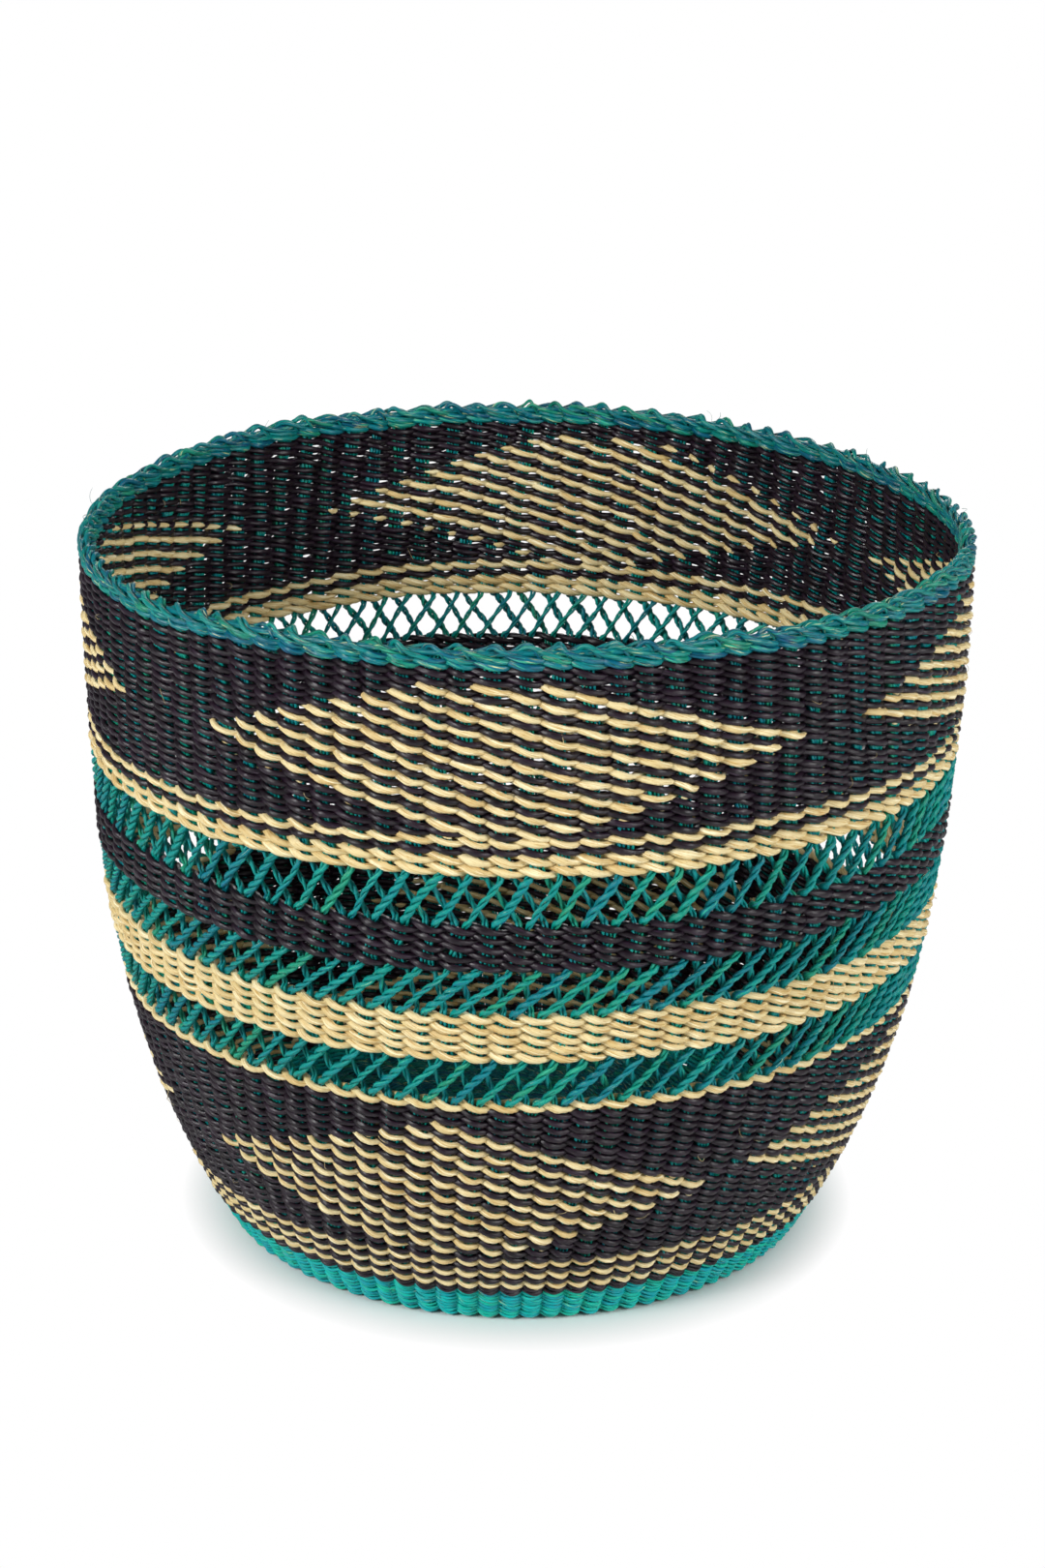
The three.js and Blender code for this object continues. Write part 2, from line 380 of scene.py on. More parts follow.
def field(node, look, centres, rows):
    """A black band with four diamonds. There, the strand that shows at every other rib is natural.

    centres are the rib and the row at the middle of each diamond, and rows are the first and the last row
    that it may show in.
    """
    heights, pitch = rows_of(node)
    black = [Strands(f"{node}_black_{part}") for part in ("low", "lower_middle", "upper_middle", "high")]
    natural = Strands(f"{node}_diamonds")
    black_shape = strand(pitch, **BLACK_LOOK)
    natural_shape = strand(pitch, **look)
    for n, height in enumerate(heights):
        strands = black[n * len(black) // len(heights)]
        row(strands, height - BLACK_SAG, black_shape, (1 - n % 2,))
        shown = [shown_ribs(n, rib, middle, rows) for rib, middle in centres]
        spans = [(ribs[0] - 1, ribs[-1] + 1) for ribs in shown if ribs]
        if not spans:
            row(strands, height, black_shape, (n % 2,))
            continue
        for k, (first, last) in enumerate(spans):
            before = spans[k - 1][1] - (RIBS if k == 0 else 0)
            stretch = (before - OVERLAP, first + OVERLAP)
            weft(strands, wall, height, drift(height), black_shape, n % 2, stretch)
            weft(natural, wall, height, drift(height), natural_shape, n % 2, (first, last))
            for rib in (first, last):
                if rng.uniform() < STRAY_CHANCE:
                    stray_end(natural, height, rib)
    for strands in black:
        strands.build(*BLACK, node)
    natural.build(*NATURAL, node)


def stray_end(strands, height, rib):
    """A bit of natural strand that peeps out between two black rows, beside a diamond."""
    spot = height - STRAY_DROP + rng.normal(0, 0.3)
    s = np.linspace(-1, 1, 5)
    turn = (rib + drift(height) + rng.uniform(-0.12, 0.12) + STRAY_HALF * s) * RIB_ANGLE
    across = STRAY_STAND - 0.7 * s**2 + rng.normal(0, 0.2)
    fall = -0.5 * s * rng.uniform(0.4, 1.2)
    size = np.full(len(s), rng.uniform(*STRAY_SIZES))
    tints = np.full(len(s), rng.uniform(0, 1))
    path = off_surface(turn, wall, spot, across, fall)
    along = wall(spot)[2]
    strands.add(path, spin(turn, *along), size, 0.8 * size, tints)


# Stakes: each is a cord of two plies, from the foot to the rim

STAKE_BOTTOM = 3.0
STAKE_TOP = 311.0
OPEN_STEP = 0.7  # mm of height from one ring of a ply to the next, in and near the openwork
BAND_STEP = 0.875  # and behind the weft
NEAR_BELOW = 3  # mm below an openwork row that count as near it
NEAR_ABOVE = 2

# Behind the weft the four plies of a rib lie side by side
PLY_WIDTH = 0.72  # half of the room that each has there
PLY_DEPTH = 2.1  # half of its depth through the wall
PLY_FIT = 1.06  # its width as a share of its room
SQUEEZE = 0.3  # share by which a row of weft presses a ply together
SQUEEZE_REACH = 1.5  # mm from a slit to where it is pressed most

# In the openwork: mm from the cord's middle to a ply's, half of a ply's size round the cord and out of it,
# the length of a full turn, and how far the cord stands out of the wall's middle
OUTER_CORD = {"apart": 0.92, "tall": 1.12, "thick": 0.88, "lay": 11.0, "stand": 1.7}
INNER_CORD = {"apart": 0.70, "tall": 0.88, "thick": 0.69, "lay": 14.0, "stand": -1.45}

# Mm from the rib's middle to a cord: at its foot and its head in the openwork, and behind the weft
FEET_ASIDE = 2.1
HEAD_ASIDE = 2.4
BAND_ASIDE = 2 * PLY_WIDTH
STEP_ASIDE = 3  # mm of height in which it gets from one of these places to the other
SWAP_HALF = 4  # half of the height in which the two cords change sides, in the middle of a band
PASS_HALF = 6  # half of the height in which they pass each other there
PASS_OUT = 0.9  # mm that one goes out for it, and the other in

GATHER_START = 0.8  # mm past the openwork's edge where the plies start to gather into a cord
GATHER_LENGTH = 2.4
SECTORS = 6  # pieces that the stakes of one side are split into

# How the cords differ in the openwork, and how far the tints of a cord's plies do
CORD_SIZES = (-0.2, 0.15)  # added to 1
CORD_LAYS = (0.9, 1.3)  # times the length of a full turn
CORD_ASIDE = 0.45  # mm along the wall
CORD_SLACK = 0.25  # radians that a cord is turned by
PLY_TINT = 0.12

# How far the plies sway behind the weft, in mm along the wall and out of it
SWAY_SPACING = 9
SWAY_ALONG = 0.10
SWAY_OUT = 0.22


def stake_heights():
    """Places along a stake: closest together in the openwork."""
    heights = [STAKE_BOTTOM]
    while heights[-1] < STAKE_TOP:
        near = any(low - NEAR_BELOW <= heights[-1] <= high + NEAR_ABOVE for low, high in OPENWORK)
        heights.append(heights[-1] + (OPEN_STEP if near else BAND_STEP))
    return np.array(heights)


def side_steps(heights):
    """How far the right-leaning cord is to the right of its rib's middle and out of the wall's, in mm."""
    aside = [(0, BAND_ASIDE)]
    outside = [(0, 0)]
    for n, (low, high) in enumerate(OPENWORK):
        if n:
            middle = (OPENWORK[n - 1][1] + low) / 2
            aside += [(middle - SWAP_HALF, -BAND_ASIDE), (middle + SWAP_HALF, BAND_ASIDE)]
            outside += [(middle - PASS_HALF, 0), (middle, PASS_OUT), (middle + PASS_HALF, 0)]
        aside += [(low - STEP_ASIDE, BAND_ASIDE), (low, FEET_ASIDE)]
        aside += [(high, -HEAD_ASIDE), (high + STEP_ASIDE, -BAND_ASIDE)]
    return np.interp(heights, *zip(*aside)), np.interp(heights, *zip(*outside))


def openness(heights):
    """1 in the openwork and 0 behind the weft, and the ribs by which the two stakes of a pair have parted."""
    opened = np.zeros_like(heights)
    crossed = np.zeros_like(heights)
    for low, high in OPENWORK:
        gathered = smooth((heights - low + GATHER_START) / GATHER_LENGTH)
        gathered = gathered * smooth((high + GATHER_START - heights) / GATHER_LENGTH)
        opened = np.maximum(opened, gathered)
        crossed += CROSSING * np.clip((heights - low) / (high - low), 0, 1)
    return opened, crossed


def cord_turns(heights, side, lay):
    """Half turns of the plies round each other: a whole number in each openwork row, none in the bands."""
    turns = np.zeros_like(heights)
    for low, high in OPENWORK:
        travel = (drift(high) - drift(low) - (0 if side > 0 else CROSSING)) * RIB_ANGLE * RIM_RADIUS
        length = math.hypot(high - low, travel - side * (FEET_ASIDE + HEAD_ASIDE))
        half_turns = round(length / (lay * rng.uniform(*CORD_LAYS)) * 2)
        turns += half_turns * np.clip((heights - low) / (high - low), 0, 1)
    return turns


def stakes(name, side, cord, nodes):
    """One stake of each pair: side is 1 for those that lean right and pass outside, -1 for the others."""
    heights = stake_heights()
    middle, level, _, out = wall(heights)
    opened, crossed = openness(heights)
    hidden = 1 - opened
    moved = drift(heights) - (0 if side > 0 else crossed)
    aside, outside = side_steps(heights)
    slits = np.array([slit for node, (top, rows) in BANDS.items() if rows for slit in slits_of(node)])
    squeeze = SQUEEZE * smooth(np.abs(heights[:, None] - slits).min(1) / SQUEEZE_REACH)
    spread = between(PLY_WIDTH, cord["apart"], opened)
    tall = between(PLY_DEPTH * (1 - squeeze), cord["tall"], opened)
    thick = between(PLY_WIDTH * (PLY_FIT - squeeze), cord["thick"], opened)
    depth = between(side * outside, cord["stand"], opened)
    sectors = [Strands(f"{name}_{n + 1}", sides=6) for n in range(SECTORS)]
    for rib in range(RIBS):
        size = 1 + rng.uniform(*CORD_SIZES) * opened
        tint = rng.uniform(0, 1)
        turn = (rib + moved) * RIB_ANGLE + (side * aside + rng.normal(0, CORD_ASIDE) * opened) / middle
        centre = spin(turn, middle + depth * out[0], level + depth * out[1])
        outward = spin(turn, out[0], out[1])
        ahead = unit(np.gradient(centre, axis=0))
        right = unit(np.cross(ahead, outward))
        outward = np.cross(right, ahead)
        half_turns = cord_turns(heights, side, cord["lay"])
        slack = rng.normal(0, CORD_SLACK) * opened
        for ply in (0, 1):
            angle = math.pi * (ply - half_turns) + slack
            away = np.cos(angle)[:, None] * right + np.sin(angle)[:, None] * outward
            round_it = -np.sin(angle)[:, None] * right + np.cos(angle)[:, None] * outward
            ply_tint = np.full(len(heights), np.clip(tint + rng.normal(0, PLY_TINT), 0, 1))
            path = centre + (size * spread)[:, None] * away
            path += (sway(heights, SWAY_SPACING, SWAY_ALONG) * hidden)[:, None] * right
            path += (sway(heights, SWAY_SPACING, SWAY_OUT) * hidden)[:, None] * outward
            sector = sectors[rib * SECTORS // RIBS]
            sector.add(path, round_it, size * tall, size * thick, ply_tint, twist=0.5)
    for sector in sectors:
        sector.build(*STAKE, *nodes)


# Base

BASE_LEVEL = 5.3
BASE_PITCH = 2.96
BASE_ROWS = 43
FIRST_ROW = 5.0  # radius
BASE_STAKE_SIZE = 0.85  # half of a base stake's height
BASE_STAKE_FLATNESS = 1.6  # its width to its height

# Numbers of ribs, and the pieces that the rows are built in, with the radius from which each holds
DOUBLINGS = [(12, 0.0), (24, 16.0), (48, 38.0), (96, 74.0)]
BASE_PARTS = [("base_start_rows", 0.0), ("base_rows", 74.0), ("base_edge_rows", 104.0)]


def base(radius):
    """The middle of the base at a radius. Out is down, so that the wall's outer face goes on under it."""
    one = np.ones_like(radius)
    return radius, BASE_LEVEL * one, (one, 0 * one), (0 * one, -one)


def base_weave():
    """Rows of twining round a tight start. The ribs double in number where the rows get long enough."""
    parts = [Strands(name, sides=6) for name, start in BASE_PARTS]
    shape = strand(BASE_PITCH, **BASE_LOOK)
    for n in range(BASE_ROWS):
        radius = FIRST_ROW + BASE_PITCH * n
        ribs = [count for count, start in DOUBLINGS if radius >= start][-1]
        strands = [part for part, (name, start) in zip(parts, BASE_PARTS) if radius >= start][-1]
        for shift in (0, 1):
            weft(strands, base, radius, DRIFT[0], shape, shift, ribs=ribs)
    stake_parts = base_stakes()
    parts[0].build(*SHADED_TEAL, "base_start", "base_disc")
    parts[1].build(*SHADED_TEAL, "base_disc")
    parts[2].build(*SHADED_TEAL, "base_disc", "foot_weave")
    stake_parts.build(*SHADED_TEAL, "base_disc")


def base_stakes():
    """Flat stakes that the base's rows go round: each starts where its rib is added."""
    strands = Strands("base_stakes", sides=6)
    steps = 24
    for rib in range(RIBS):
        start = next(start for count, start in DOUBLINGS if rib % (RIBS // count) == 0)
        radius = np.linspace(start + 1.5, FIRST_ROW + BASE_PITCH * BASE_ROWS, steps)
        turn = np.full(steps, (rib + DRIFT[0]) * RIB_ANGLE)
        path = spin(turn, radius, np.full(steps, BASE_LEVEL))
        size = np.full(steps, BASE_STAKE_SIZE)
        tints = np.full(steps, rng.uniform(0, 1))
        strands.add(path, UPRIGHT, size, size * BASE_STAKE_FLATNESS, tints)
    return strands


# Rim

RIM_PITCH = 2.6
RIM_ROWS = [308.9, 311.2]  # heights
BORDER_HEIGHT = 313.8
CORE_SIZE = 1.4  # half the thickness of the cord inside the border
CORE_DROP = 0.5
CORE_TINT = 0.4

# A border strand: places along it are shares of its length
BORDER_SIZES = (0.74, 1.16)
BORDER_REACHES = (0.88, 1.08)  # times its way along the rim
BORDER_SLIP = 0.07  # ribs
BORDER_TINTS = [0.05, 0.3, 0.45, 0.6, 0.75, 0.95]
KNOB_PLACE = 0.38
KNOB_REACH = 0.15
KNOB_SPREAD = 0.6  # mm by which the knobs differ in height
FLAT_START = 0.45  # where it starts to lie flat on the rim's face
FLAT_REACH = 0.25
FLAT_SPREAD = 0.35

# A border strand's way: mm out from the wall's middle and up from the border's, and ribs along the rim
BORDER_WAY = [
    (-0.8, -3.5, -0.42),
    (-1.0, -0.6, -0.30),
    (-0.6, 1.5, -0.17),
    (0.6, 2.5, 0.00),
    (1.9, 2.0, 0.17),
    (2.8, 0.7, 0.34),
    (3.0, -0.6, 0.66),
    (2.8, -1.8, 1.05),
    (1.4, -2.4, 1.38),
]


def border_strand(strands, rib, side):
    """A strand that comes up inside the rim, bends over it as a knob, and runs down and on along its face."""
    s = np.linspace(0, 1, 28)
    places = np.linspace(0, 1, len(BORDER_WAY))
    over, rise, on = (np.interp(s, places, values) for values in zip(*BORDER_WAY))
    middle, level = wall(BORDER_HEIGHT)[:2]
    knob = np.exp(-(((s - KNOB_PLACE) / KNOB_REACH) ** 2))
    flat = smooth((s - FLAT_START) / FLAT_REACH)
    rise = rise + knob * rng.normal(0, KNOB_SPREAD) + flat * rng.normal(0, FLAT_SPREAD)
    on = side * on * rng.uniform(*BORDER_REACHES) + BORDER_SLIP * rng.normal()
    turn = (rib + drift(BORDER_HEIGHT) + on) * RIB_ANGLE
    path = smooth_path(spin(turn, middle + side * over, level + rise))
    face = spin(turn, side * np.ones_like(s), 0 * s)
    upright = spin(turn, 0 * s, np.ones_like(s))
    ahead = unit(np.gradient(path, axis=0))
    flat_share = flat[:, None]
    up = unit((1 - flat_share) * np.cross(ahead, upright + 0.4 * face) + flat_share * upright)
    ends = 0.5 + 0.5 * smooth(s / 0.15) * smooth((1 - s) / 0.25)
    size = rng.uniform(*BORDER_SIZES)
    tall = size * (0.92 + 0.14 * flat) * ends
    thick = size * (1.1 - 0.1 * flat) * ends
    strands.add(path, up, tall, thick, np.full(len(s), rng.choice(BORDER_TINTS)), twist=0.1)


def smooth_path(path):
    for _ in range(3):
        inner = 0.25 * path[:-2] + 0.5 * path[1:-1] + 0.25 * path[2:]
        path = np.concatenate([path[:1], inner, path[-1:]])
    return path


def rim():
    rows = Strands("rim_rows")
    for height in RIM_ROWS:
        row(rows, height, strand(RIM_PITCH, **RIM_LOOK))
    rows.build(*SHADED_TEAL, "rim_weave")

    border = Strands("rim_border_strands")
    for rib in range(RIBS):
        for side in (1, -1):
            border_strand(border, rib, side)
    t = np.arange(2 * RIBS + 1) / 2
    middle, level = wall(np.full(len(t), BORDER_HEIGHT))[:2]
    core = spin(t * RIB_ANGLE, middle, level - CORE_DROP)
    size = np.full(len(t), CORE_SIZE)
    border.add(core, UPRIGHT, size, size, np.full(len(t), CORE_TINT), closed=True)
    border.build(*SHADED_TEAL, "rim_border")


# Loose fibres

HAIR_CURL = 1.3  # radians by which they bend
HAIR_LENGTHS = (3, 9)
HAIR_FOOT = 3.0  # mm from the wall's middle to where they leave the weave
HAIR_ARCHES = (0.3, 2.2)  # and how far they stand out from there
HAIR_SIZES = (0.09, 0.16)


def loose_fibres(node, bottom, top, number, finish):
    """Thin hairs that stick out of the weave on both faces."""
    hairs = Strands(node + "_loose_fibres", sides=4)
    s = np.linspace(0, 1, 8)
    for _ in range(number):
        height = rng.uniform(bottom, top)
        heading = rng.uniform(0, TURN) + rng.normal(0, HAIR_CURL) * s
        step = rng.uniform(*HAIR_LENGTHS) / len(s)
        right = np.cumsum(np.cos(heading)) * step
        rise = np.cumsum(np.sin(heading)) * step
        face = rng.choice([1, -1])
        across = face * (HAIR_FOOT + rng.uniform(*HAIR_ARCHES) * np.sin(math.pi * s))
        turn = rng.uniform(0, TURN) + right / wall(height)[0]
        size = rng.uniform(*HAIR_SIZES) * (1 - 0.5 * s)
        tints = np.full(len(s), rng.uniform(0, 1))
        path = off_surface(turn, wall, height, across, rise)
        out = wall(height)[3]
        hairs.add(path, spin(turn, *out), size, size, tints)
    hairs.build(*finish, node)


# Materials


def linear(red, green, blue):
    """From a colour as a screen shows it, 0 to 255, to the one that light is worked out with."""
    parts = [c / 255 for c in (red, green, blue)]
    return [c / 12.92 if c <= 0.04045 else ((c + 0.055) / 1.055) ** 2.4 for c in parts] + [1.0]


class Nodes:
    """The nodes of a material or of the room's light, made by short calls."""

    def __init__(self, owner):
        owner.use_nodes = True
        self.owner = owner
        self.tree = owner.node_tree
        self.tree.nodes.clear()

    def new(self, kind, **values):
        node = self.tree.nodes.new(kind)
        for key, value in values.items():
            setattr(node, key, value)
        return node

    def join(self, value, socket):
        """Links an output to a socket, or sets the socket to a plain value."""
        if isinstance(value, bpy.types.NodeSocket):
            self.tree.links.new(value, socket)
        else:
            socket.default_value = value

    def set(self, node, **values):
        for key, value in values.items():
            self.join(value, node.inputs[key.replace("_", " ")])
        return node

    def math(self, operation, *values):
        node = self.new("ShaderNodeMath", operation=operation)
        for socket, value in zip(node.inputs, values):
            self.join(value, socket)
        return node.outputs[0]

    def mix(self, factor, first, second, blend="MIX"):
        """A mix of two colours."""
        node = self.new("ShaderNodeMix", data_type="RGBA", blend_type=blend)
        colours = [socket for socket in node.inputs if socket.type == "RGBA"]
        for socket, value in zip([node.inputs[0], *colours], (factor, first, second)):
            self.join(value, socket)
        return [socket for socket in node.outputs if socket.type == "RGBA"][0]

    def blend(self, factor, first, second):
        """A mix of two shaders."""
        node = self.new("ShaderNodeMixShader")
        for socket, value in zip(node.inputs, (factor, first, second)):
            self.join(value, socket)
        return node.outputs[0]

    def ramp(self, factor, stops):
        """stops are pairs of a place from 0 to 1 and a colour, or a number for grey."""
        node = self.new("ShaderNodeValToRGB")
        elements = node.color_ramp.elements
        while len(elements) < len(stops):
            elements.new(0.5)
        for element, (place, colour) in zip(elements, stops):
            element.position = place
            element.color = colour if isinstance(colour, list) else (colour, colour, colour, 1)
        self.join(factor, node.inputs["Fac"])
        return node.outputs["Color"]

    def streaks(self, fibre, along, around, detail=2.0):
        """Noise drawn out along the strand. along and around are its steps to a mm and to a radian."""
        scaled = self.set(self.new("ShaderNodeMapping"), Vector=fibre, Scale=(along, around, around))
        noise = self.new("ShaderNodeTexNoise")
        self.set(noise, Vector=scaled.outputs[0], Scale=1.0, Detail=detail)
        return noise.outputs["Fac"]

    def finish(self, shader, kind="ShaderNodeOutputMaterial"):
        self.join(shader, self.new(kind).inputs["Surface"])
        return self.owner


def grass(name, tints, streaks, dark, roughness, specular):
    """Dyed grass: a tint for each stitch, streaks of other colours along its fibres, and fine dark lines.

    streaks are (colour, share of the surface, steps to a mm along the strand, steps to a radian around it).
    The noise that they come from lies round a half.
    """
    n = Nodes(bpy.data.materials.new(name))
    fibre = n.new("ShaderNodeAttribute", attribute_name="fibre").outputs["Vector"]
    tint = n.new("ShaderNodeAttribute", attribute_name="tint").outputs["Fac"]
    colour = n.ramp(tint, tints)
    for streak, share, along, around in streaks:
        edge = 0.5 + 0.25 * (1 - 2 * share)
        amount = n.ramp(n.streaks(fibre, along, around), [(edge - 0.03, 0.0), (edge + 0.06, 1.0)])
        colour = n.mix(amount, colour, streak)
    fine = n.streaks(fibre, 0.14, 3.2, 3.0)
    colour = n.mix(n.ramp(fine, [(0.30, 1.0), (0.50, 0.0)]), colour, dark, "MULTIPLY")
    rough = n.new("ShaderNodeMapRange")
    n.set(rough, Value=fine, To_Min=roughness - 0.1, To_Max=roughness + 0.1)
    blades = n.streaks(fibre, 0.05, 1.1, 1.0)
    relief = n.math("MULTIPLY_ADD", blades, 0.9, fine)
    bump = n.set(n.new("ShaderNodeBump"), Strength=0.8, Distance=0.0003, Height=relief)
    shader = n.set(
        n.new("ShaderNodeBsdfPrincipled"),
        Base_Color=colour,
        Roughness=rough.outputs["Result"],
        Normal=bump.outputs["Normal"],
        Specular_IOR_Level=specular,
    )
    return n.finish(shader.outputs["BSDF"])


# Painted shade: the teal of the rim and the base is a darker copy of the stakes' teal, darkened to stand for
# the shade between the rim's strands
def teal_grass():
    tints = [
        (0.0, linear(0, 94, 120)),
        (0.25, linear(0, 113, 128)),
        (0.6, linear(0, 130, 131)),
        (0.85, linear(0, 136, 124)),
        (1.0, linear(22, 138, 108)),
    ]
    streaks = [
        (linear(0, 80, 118), 0.26, 0.06, 1.2),
        (linear(60, 178, 144), 0.26, 0.08, 1.6),
        (linear(214, 222, 160), 0.16, 0.11, 1.9),
    ]
    return grass("teal_grass", tints, streaks, linear(70, 100, 112), roughness=0.34, specular=0.36)


def stake_grass():
    tints = [
        (0.0, linear(0, 126, 138)),
        (0.3, linear(0, 140, 142)),
        (0.7, linear(0, 150, 142)),
        (0.9, linear(0, 152, 134)),
        (1.0, linear(28, 154, 122)),
    ]
    streaks = [
        (linear(0, 112, 146), 0.22, 0.05, 1.2),
        (linear(50, 190, 150), 0.22, 0.06, 1.6),
        (linear(210, 220, 160), 0.05, 0.07, 1.9),
    ]
    return grass("stake_grass", tints, streaks, linear(130, 160, 170), roughness=0.40, specular=0.3)


# Painted light: brighter than the other teals, with fainter dark lines, to stand for light bounced up from
# the white floor onto the foot
def floor_lit_foot_grass():
    tints = [(0.0, linear(0, 166, 178)), (0.5, linear(0, 185, 180)), (1.0, linear(0, 191, 163))]
    streaks = [
        (linear(0, 150, 176), 0.14, 0.06, 1.2),
        (linear(50, 208, 170), 0.24, 0.07, 1.6),
        (linear(220, 232, 160), 0.09, 0.08, 1.9),
    ]
    return grass("floor_lit_foot_grass", tints, streaks, linear(140, 165, 175), roughness=0.42, specular=0.26)


def black_grass():
    tints = [(0.0, linear(18, 8, 17)), (0.5, linear(25, 13, 24)), (1.0, linear(34, 19, 33))]
    # The lighter violet streaks are partly the dye's own unevenness and partly painted sheen
    streaks = [(linear(50, 34, 52), 0.26, 0.08, 1.8)]
    return grass("black_grass", tints, streaks, linear(110, 98, 108), roughness=0.34, specular=0.42)


def natural_grass():
    tints = [
        (0.0, linear(215, 188, 128)),
        (0.3, linear(228, 207, 152)),
        (0.7, linear(235, 218, 167)),
        (1.0, linear(221, 198, 140)),
    ]
    streaks = [
        (linear(252, 240, 198), 0.34, 0.05, 1.6),
        (linear(204, 166, 102), 0.18, 0.06, 1.9),
        (linear(150, 108, 62), 0.04, 0.5, 2.4),
    ]
    return grass("natural_grass", tints, streaks, linear(220, 196, 156), roughness=0.46, specular=0.3)


# Each finish is a material, and the slot of the imported model that it stands for
# The first teal finish carries painted shade, the stakes' is the plain teal, and the foot's carries painted
# light bounced up from the floor
SHADED_TEAL = (teal_grass(), "teal_grass")
STAKE = (stake_grass(), "teal_grass")
BOUNCE_LIT_FOOT = (floor_lit_foot_grass(), "teal_grass")
BLACK = (black_grass(), "black_grass")
NATURAL = (natural_grass(), "natural_grass")

# How the strands of each kind of band are shaped
BASE_LOOK = {"tall": 0.42, "thick": 0.9, "depth": 1.3, "uneven": 0.15}
FOOT_LOOK = {"tall": 0.42, "thick": 0.8, "depth": 2.2, "uneven": 0.14}
BLACK_LOOK = {"tall": 0.41, "thick": 1.2, "fall": 0.31, "depth": 2.6, "uneven": 0.32}
NATURAL_LOOK = {"tall": 0.38, "thick": 1.2, "uneven": 0.28}
THICK_LOOK = {"tall": 0.42, "thick": 1.2, "depth": 2.6, "uneven": 0.26}
STRIPE_LOOK = {"tall": 0.34, "thick": 1.1, "uneven": 0.08}
COURSE_LOOK = {"tall": 0.44, "thick": 1.05, "depth": 2.6, "uneven": 0.08}
LOWER_DIAMOND_LOOK = {"tall": 0.39, "thick": 1.1, "fall": 0.36, "depth": 2.9}
UPPER_DIAMOND_LOOK = {"tall": 0.46, "thick": 1.15, "fall": 0.38, "depth": 3.0}
RIM_LOOK = {"tall": 0.56, "thick": 1.15, "fall": 0.36, "depth": 2.7, "uneven": 0.15}

# The middle of each diamond: rib and row
LOWER_DIAMONDS = [(-27, 9), (-4, 10), (20, 10), (44, 10)]
UPPER_DIAMONDS = [(-31, 9.4), (-8, 9.4), (15, 9.4), (40, 9.4)]

# The basket, from the floor up
base_weave()
band("foot_weave", BOUNCE_LIT_FOOT, FOOT_LOOK)
band("hem_black", BLACK, COURSE_LOOK)
band("lower_stripe_1", NATURAL, STRIPE_LOOK)
band("lower_course_1", BLACK, COURSE_LOOK)
band("lower_stripe_2", NATURAL, STRIPE_LOOK)
band("lower_course_2", BLACK, COURSE_LOOK)
band("lower_stripe_3", NATURAL, STRIPE_LOOK)
field("lower_field", LOWER_DIAMOND_LOOK, LOWER_DIAMONDS, rows=(1, 20))
band("sill_row", NATURAL, THICK_LOOK)
band("natural_band", NATURAL, NATURAL_LOOK)
band("black_band", BLACK, BLACK_LOOK)
band("lintel_rows", NATURAL, THICK_LOOK)
band("upper_course", BLACK, BLACK_LOOK)
band("upper_stripe", NATURAL, THICK_LOOK)
field("upper_field", UPPER_DIAMOND_LOOK, UPPER_DIAMONDS, rows=(0, 17))
stakes("right_stakes", 1, OUTER_CORD, [f"{name}_outer_stakes" for name in OPENWORK_NAMES])
stakes("left_stakes", -1, INNER_CORD, [f"{name}_inner_stakes" for name in OPENWORK_NAMES])
rim()
loose_fibres("lower_field", 40, 112, 60, NATURAL)
loose_fibres("natural_band", 140, 160, 25, NATURAL)
loose_fibres("upper_field", 238, 304, 60, NATURAL)
loose_fibres("rim_weave", 308, 316, 30, SHADED_TEAL)


# Floor, room and lamps, in metres

FLOOR_HALF = 20.0
# Round this middle the camera sees the floor's painted shade, a darker teal-tinted colour that fades out to
# white
SHADOW_MIDDLE = (0.0, -0.010, 0.0)
LIT_FLOOR = 0.124  # from there, inside which the floor shows its shadow
WHITE_FLOOR = 0.152  # and outside which it is as white as the room
WHITE = (1.0, 1.0, 1.0, 1.0)
LAMP_AIM = Vector((0, 0, 0.16))


def seen_directly(n):
    """1 for what the camera sees, and 0 for light that falls on the basket."""
    path = n.new("ShaderNodeLightPath")
    return n.math("MAXIMUM", path.outputs["Is Camera Ray"], path.outputs["Is Transmission Ray"])


def floor_material():
    """Pale, and as white as the room beyond the foot. Round the foot the camera sees soft real shade on a
    darker, teal-tinted colour, which is painted shade and painted teal bounce light.
    """
    n = Nodes(bpy.data.materials.new("pale_floor"))
    seen = seen_directly(n)
    diffuse = n.set(n.new("ShaderNodeBsdfDiffuse"), Color=(0.88, 0.89, 0.90, 1.0)).outputs[0]
    # Painted shade: a darker, teal-tinted floor colour that only the camera sees, standing for shade and for
    # teal light bounced from the basket
    painted_shade_floor = n.set(n.new("ShaderNodeBsdfDiffuse"), Color=(0.72, 0.80, 0.79, 1.0)).outputs[0]
    white = n.set(n.new("ShaderNodeEmission"), Color=WHITE, Strength=1.0).outputs[0]
    distance = n.new("ShaderNodeVectorMath", operation="DISTANCE")
    n.join(n.new("ShaderNodeNewGeometry").outputs["Position"], distance.inputs[0])
    n.join(SHADOW_MIDDLE, distance.inputs[1])
    away = n.new("ShaderNodeMapRange")
    n.set(away, Value=distance.outputs["Value"], From_Min=LIT_FLOOR, From_Max=WHITE_FLOOR)
    white_share = n.math("MULTIPLY", away.outputs["Result"], seen)
    return n.finish(n.blend(white_share, n.blend(seen, diffuse, painted_shade_floor), white))


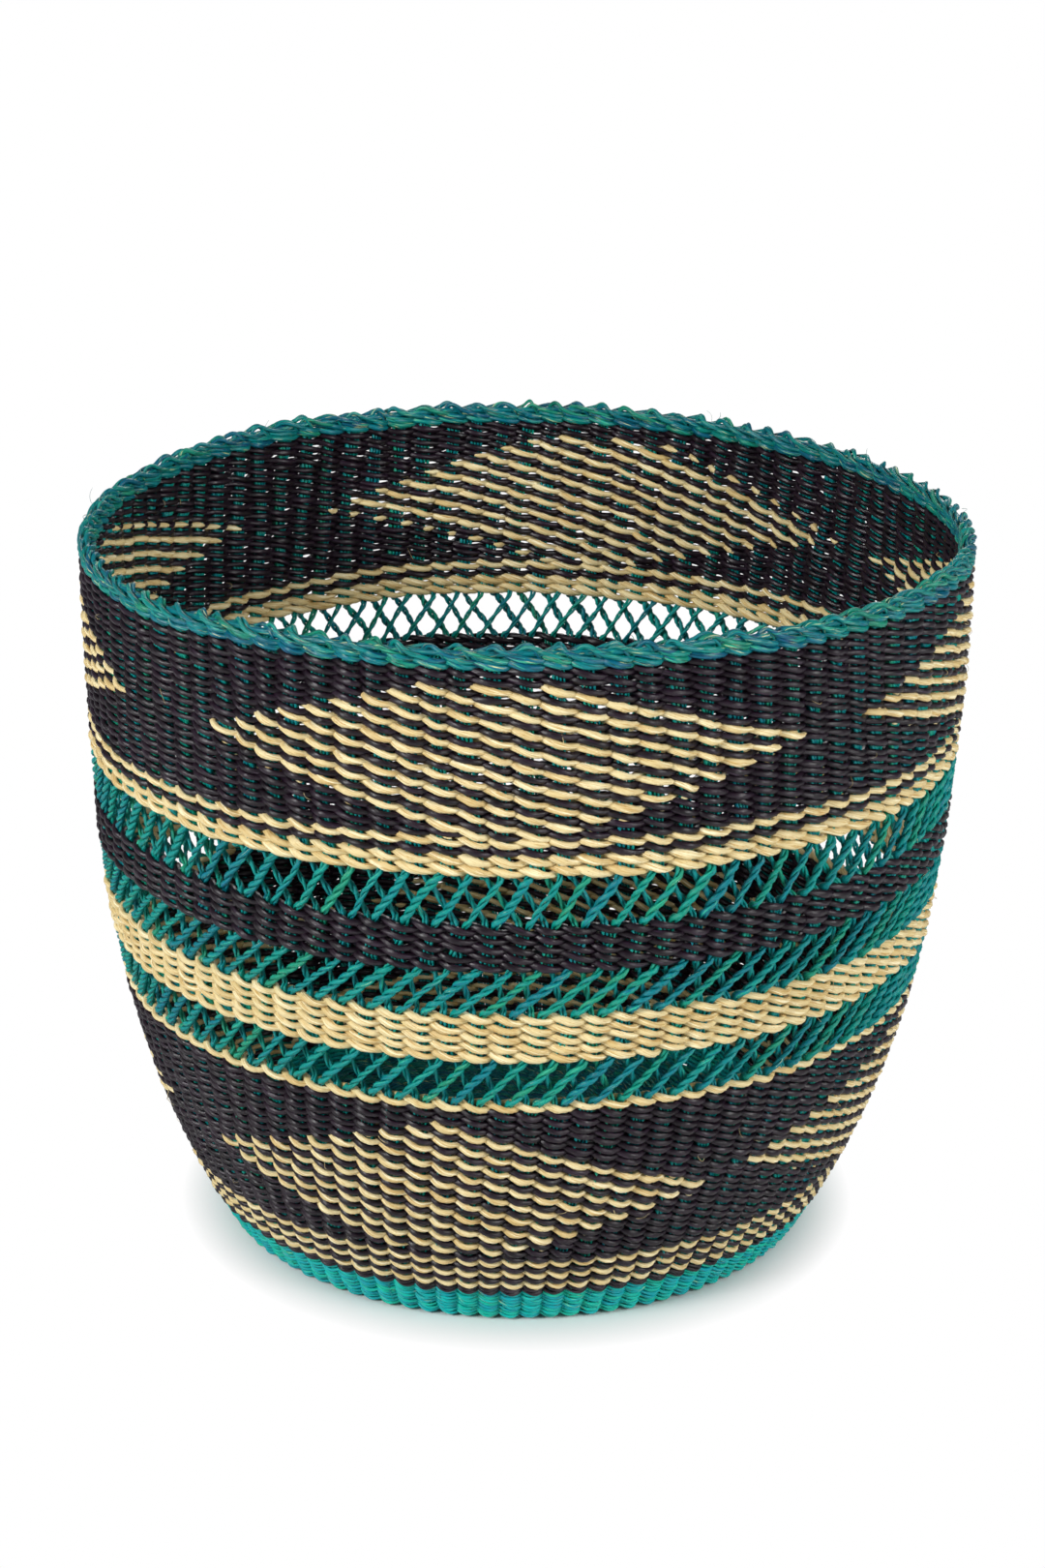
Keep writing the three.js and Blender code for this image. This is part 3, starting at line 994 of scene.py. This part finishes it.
def add_floor():
    corners = [(x * FLOOR_HALF, y * FLOOR_HALF, 0) for x, y in ((-1, -1), (1, -1), (1, 1), (-1, 1))]
    mesh = bpy.data.meshes.new("floor")
    mesh.from_pydata(corners, [], [(0, 1, 2, 3)])
    mesh.materials.append(floor_material())
    floor = bpy.data.objects.new("floor", mesh)
    bpy.context.scene.collection.objects.link(floor)


def add_room():
    """An even light from all round, and pure white where it shows."""
    bpy.context.scene.world = bpy.data.worlds.new("white_room")
    n = Nodes(bpy.context.scene.world)
    light = n.set(n.new("ShaderNodeBackground"), Color=(0.96, 0.98, 1.0, 1.0), Strength=0.17).outputs[0]
    white = n.set(n.new("ShaderNodeBackground"), Color=WHITE, Strength=1.0).outputs[0]
    n.finish(n.blend(seen_directly(n), light, white), "ShaderNodeOutputWorld")


def softbox(name, place, size, watts):
    """A square lamp that faces the basket's middle."""
    data = bpy.data.lights.new(name, "AREA")
    data.size = size
    data.energy = watts
    lamp = bpy.data.objects.new(name, data)
    lamp.location = place
    lamp.rotation_euler = (LAMP_AIM - Vector(place)).to_track_quat("-Z", "Y").to_euler()
    bpy.context.scene.collection.objects.link(lamp)


def add_camera():
    """The camera stands where the photograph's did. Its lens is for a frame of 1080 by 1620."""
    distance = 1.7606
    elevation = math.radians(22.54)
    pitch = math.radians(21.49)
    roll = math.radians(0.85)
    data = bpy.data.cameras.new("camera")
    data.sensor_width = 36.0
    data.lens = 90.97
    camera = bpy.data.objects.new("camera", data)
    bpy.context.scene.collection.objects.link(camera)
    forward = Vector((0, math.cos(pitch), -math.sin(pitch)))
    up = Vector((0, math.sin(pitch), math.cos(pitch)))
    right = Vector((1, 0, 0))
    rolled_right = right * math.cos(roll) + up * math.sin(roll)
    rolled_up = up * math.cos(roll) - right * math.sin(roll)
    middle = Vector((0, 0, HEIGHT * MM / 2))
    place = middle + distance * Vector((0, -math.cos(elevation), math.sin(elevation)))
    facing = Matrix((rolled_right, rolled_up, -forward)).transposed().to_4x4()
    camera.matrix_world = Matrix.Translation(place) @ facing
    bpy.context.scene.camera = camera


add_floor()
add_room()
softbox("key", (-1.4, -1.2, 1.1), 0.6, 32)
softbox("fill", (1.5, -1.1, 0.9), 0.7, 23)
softbox("back", (0.3, 1.8, 1.2), 0.8, 12)
add_camera()
bpy.context.scene.view_settings.view_transform = "Standard"
